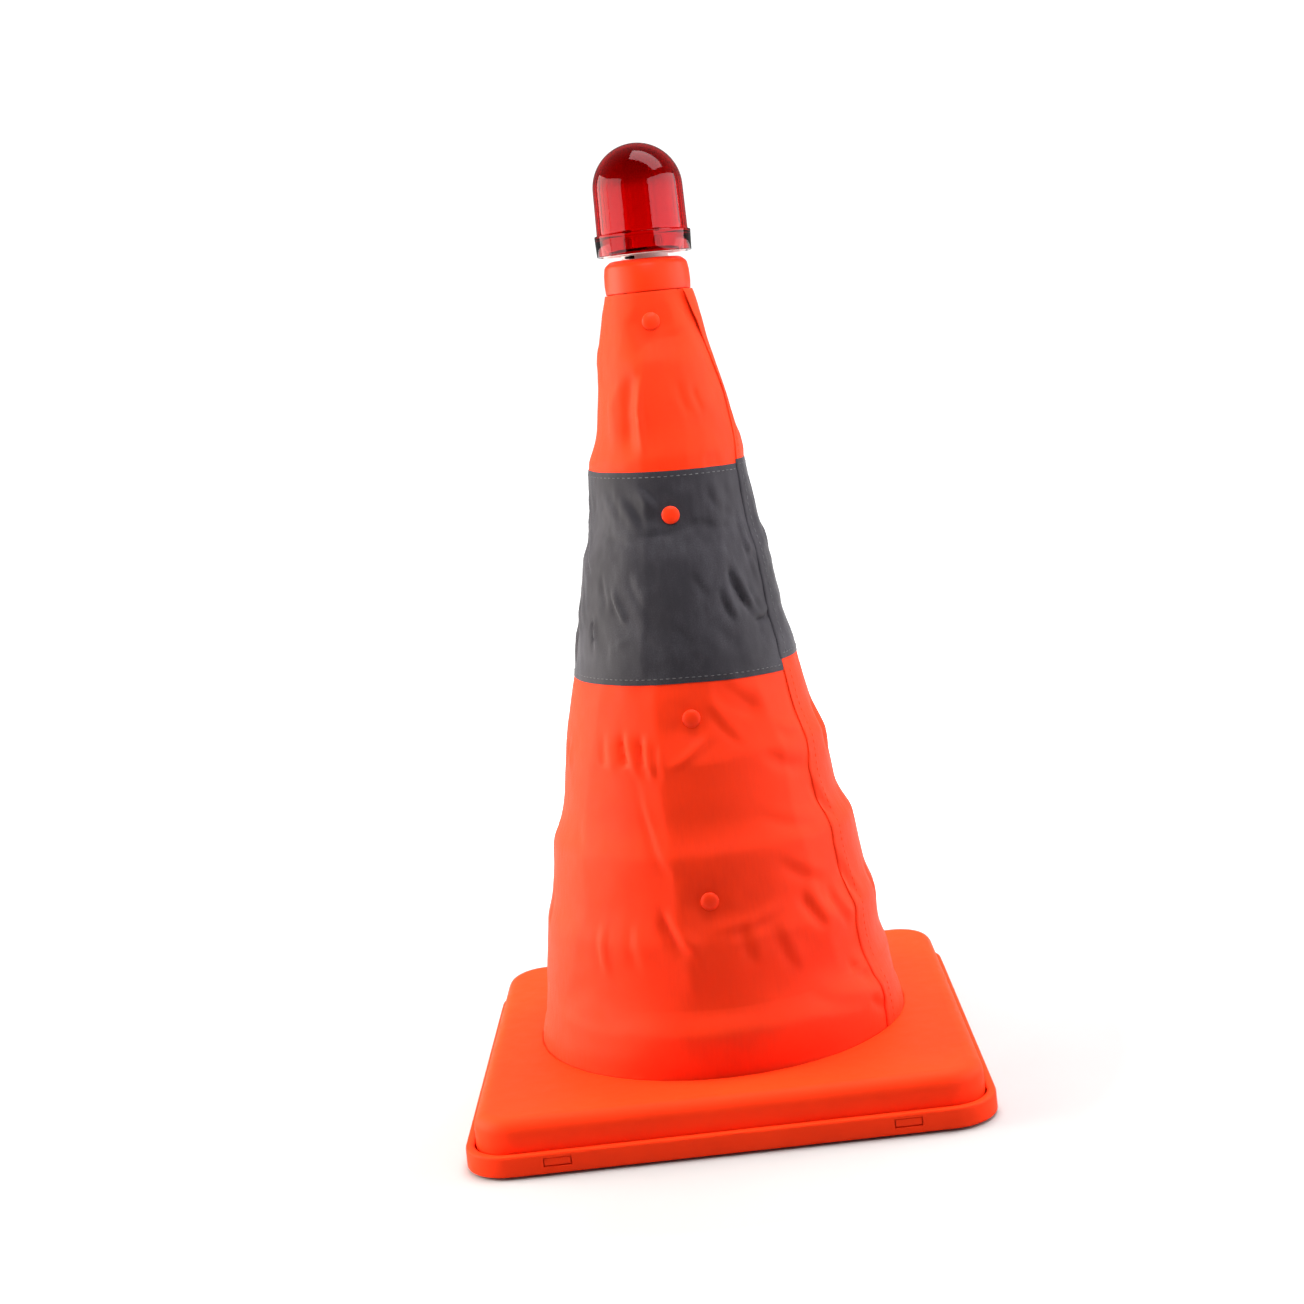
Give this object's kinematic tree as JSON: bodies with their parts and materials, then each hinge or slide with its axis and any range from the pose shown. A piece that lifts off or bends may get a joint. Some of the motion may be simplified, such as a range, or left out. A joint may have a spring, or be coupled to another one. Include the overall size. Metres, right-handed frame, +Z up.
{
  "type": "collapsible traffic cone with beacon",
  "caption": "Collapsible traffic cone: square base, telescoping rings inside an orange fabric sleeve with a grey reflective band, and a removable red battery beacon on the cap.",
  "frame": {"origin": "centre of the square base on the plane its foot pads stand on", "axes": "+Z up along the cone's axis, -Y towards the side with the front rivets, +X to the right of that side"},
  "size_m": [0.25, 0.25, 0.4714],
  "materials": {
    "orange_plastic": "satin moulded plastic, orange-red",
    "rivet_orange": "satin moulded plastic",
    "ring_plastic": "matte moulded plastic",
    "orange_fabric": "coated plain-weave polyester, fluorescent orange-red",
    "grey_band": "grey retroreflective tape, sewn on",
    "black_rubber": "matte rubber",
    "steel": "zinc-plated steel",
    "contact_brass": "stamped brass",
    "red_lens": "clear red polycarbonate",
    "pale_plastic": "off-white moulded plastic",
    "board_green": "circuit board with green mask",
    "led_clear": "clear epoxy",
    "cell_jacket": "plain dark battery jacket",
    "black_plastic": "moulded black plastic"
  },
  "bodies": {
    "base": {"base_tray": "orange_plastic", "base_cover": "orange_plastic", "base_collar": "ring_plastic", "collar_screw_1": "steel", "collar_screw_2": "steel", "collar_screw_3": "steel", "collar_screw_4": "steel", "fabric_clamp_ring": "ring_plastic", "foot_pad_front_left": "black_rubber", "foot_pad_front_right": "black_rubber", "foot_pad_back_left": "black_rubber", "foot_pad_back_right": "black_rubber", "fabric_skirt": "orange_fabric", "fabric_sleeve": "orange_fabric", "reflective_band": "grey_band"},
    "ring_1": {"ring_section_1": "ring_plastic"},
    "ring_2": {"ring_section_2": "ring_plastic", "rivet_front_2": "rivet_orange", "rivet_keeper_front_2": "ring_plastic", "rivet_back_2": "rivet_orange", "rivet_keeper_back_2": "ring_plastic"},
    "ring_3": {"ring_section_3": "ring_plastic"},
    "ring_4": {"ring_section_4": "ring_plastic", "rivet_front_4": "rivet_orange", "rivet_keeper_front_4": "ring_plastic", "rivet_back_4": "rivet_orange", "rivet_keeper_back_4": "ring_plastic"},
    "ring_5": {"ring_section_5": "ring_plastic"},
    "ring_6": {"ring_section_6": "ring_plastic", "rivet_front_6": "rivet_orange", "rivet_keeper_front_6": "ring_plastic", "rivet_back_6": "rivet_orange", "rivet_keeper_back_6": "ring_plastic"},
    "ring_7": {"ring_section_7": "ring_plastic"},
    "ring_top": {"ring_section_8": "ring_plastic", "top_cap": "orange_plastic", "rivet_front_8": "rivet_orange", "rivet_keeper_front_8": "ring_plastic", "rivet_back_8": "rivet_orange", "rivet_keeper_back_8": "ring_plastic"},
    "beacon": {"beacon_lens": "red_lens", "beacon_chassis": "pale_plastic", "led_board": "board_green", "led_1": "led_clear", "led_2": "led_clear", "led_3": "led_clear", "led_4": "led_clear", "battery_left": "cell_jacket", "battery_right": "cell_jacket", "contact_plate_plus": "contact_brass", "contact_plate_minus": "contact_brass", "contact_spring_top": "steel", "switch_body": "black_plastic"},
    "battery_hatch": {"battery_cover": "pale_plastic", "contact_bridge": "contact_brass", "contact_spring_bottom": "steel"},
    "switch": {"switch_lever": "black_plastic"}
  },
  "joints": [
    {"name": "ring_1_slide", "type": "slide", "parent": "base", "child": "ring_1", "axis": [0, 0, 1], "range_m": [-0.03007, 0]},
    {"name": "ring_2_slide", "type": "slide", "parent": "ring_1", "child": "ring_2", "axis": [0, 0, 1], "range_m": [-0.0388, 0]},
    {"name": "ring_3_slide", "type": "slide", "parent": "ring_2", "child": "ring_3", "axis": [0, 0, 1], "range_m": [-0.04268, 0]},
    {"name": "ring_4_slide", "type": "slide", "parent": "ring_3", "child": "ring_4", "axis": [0, 0, 1], "range_m": [-0.04656, 0], "deforming": ["fabric_sleeve", "reflective_band"]},
    {"name": "ring_5_slide", "type": "slide", "parent": "ring_4", "child": "ring_5", "axis": [0, 0, 1], "range_m": [-0.04656, 0]},
    {"name": "ring_6_slide", "type": "slide", "parent": "ring_5", "child": "ring_6", "axis": [0, 0, 1], "range_m": [-0.04656, 0]},
    {"name": "ring_7_slide", "type": "slide", "parent": "ring_6", "child": "ring_7", "axis": [0, 0, 1], "range_m": [-0.04656, 0]},
    {"name": "ring_8_slide", "type": "slide", "parent": "ring_7", "child": "ring_top", "axis": [0, 0, 1], "range_m": [-0.03279, 0]},
    {"name": "beacon_pull", "type": "slide", "parent": "ring_top", "child": "beacon", "axis": [0, 0, 1], "range_m": [0, 0.062]},
    {"name": "battery_cover_slide", "type": "slide", "parent": "beacon", "child": "battery_hatch", "axis": [0, 0, 1], "range_m": [-0.014, 0]},
    {"name": "switch_slide", "type": "slide", "parent": "beacon", "child": "switch", "axis": [0.848, -0.5299, 0], "range_m": [0, 0.002]}
  ],
  "couplings": [
    {"joint": "ring_1_slide", "follows": "ring_4_slide", "ratio": 0.64583},
    {"joint": "ring_2_slide", "follows": "ring_4_slide", "ratio": 0.83333},
    {"joint": "ring_3_slide", "follows": "ring_4_slide", "ratio": 0.91667},
    {"joint": "ring_5_slide", "follows": "ring_4_slide", "ratio": 1},
    {"joint": "ring_6_slide", "follows": "ring_4_slide", "ratio": 1},
    {"joint": "ring_7_slide", "follows": "ring_4_slide", "ratio": 1},
    {"joint": "ring_8_slide", "follows": "ring_4_slide", "ratio": 0.70417}
  ]
}
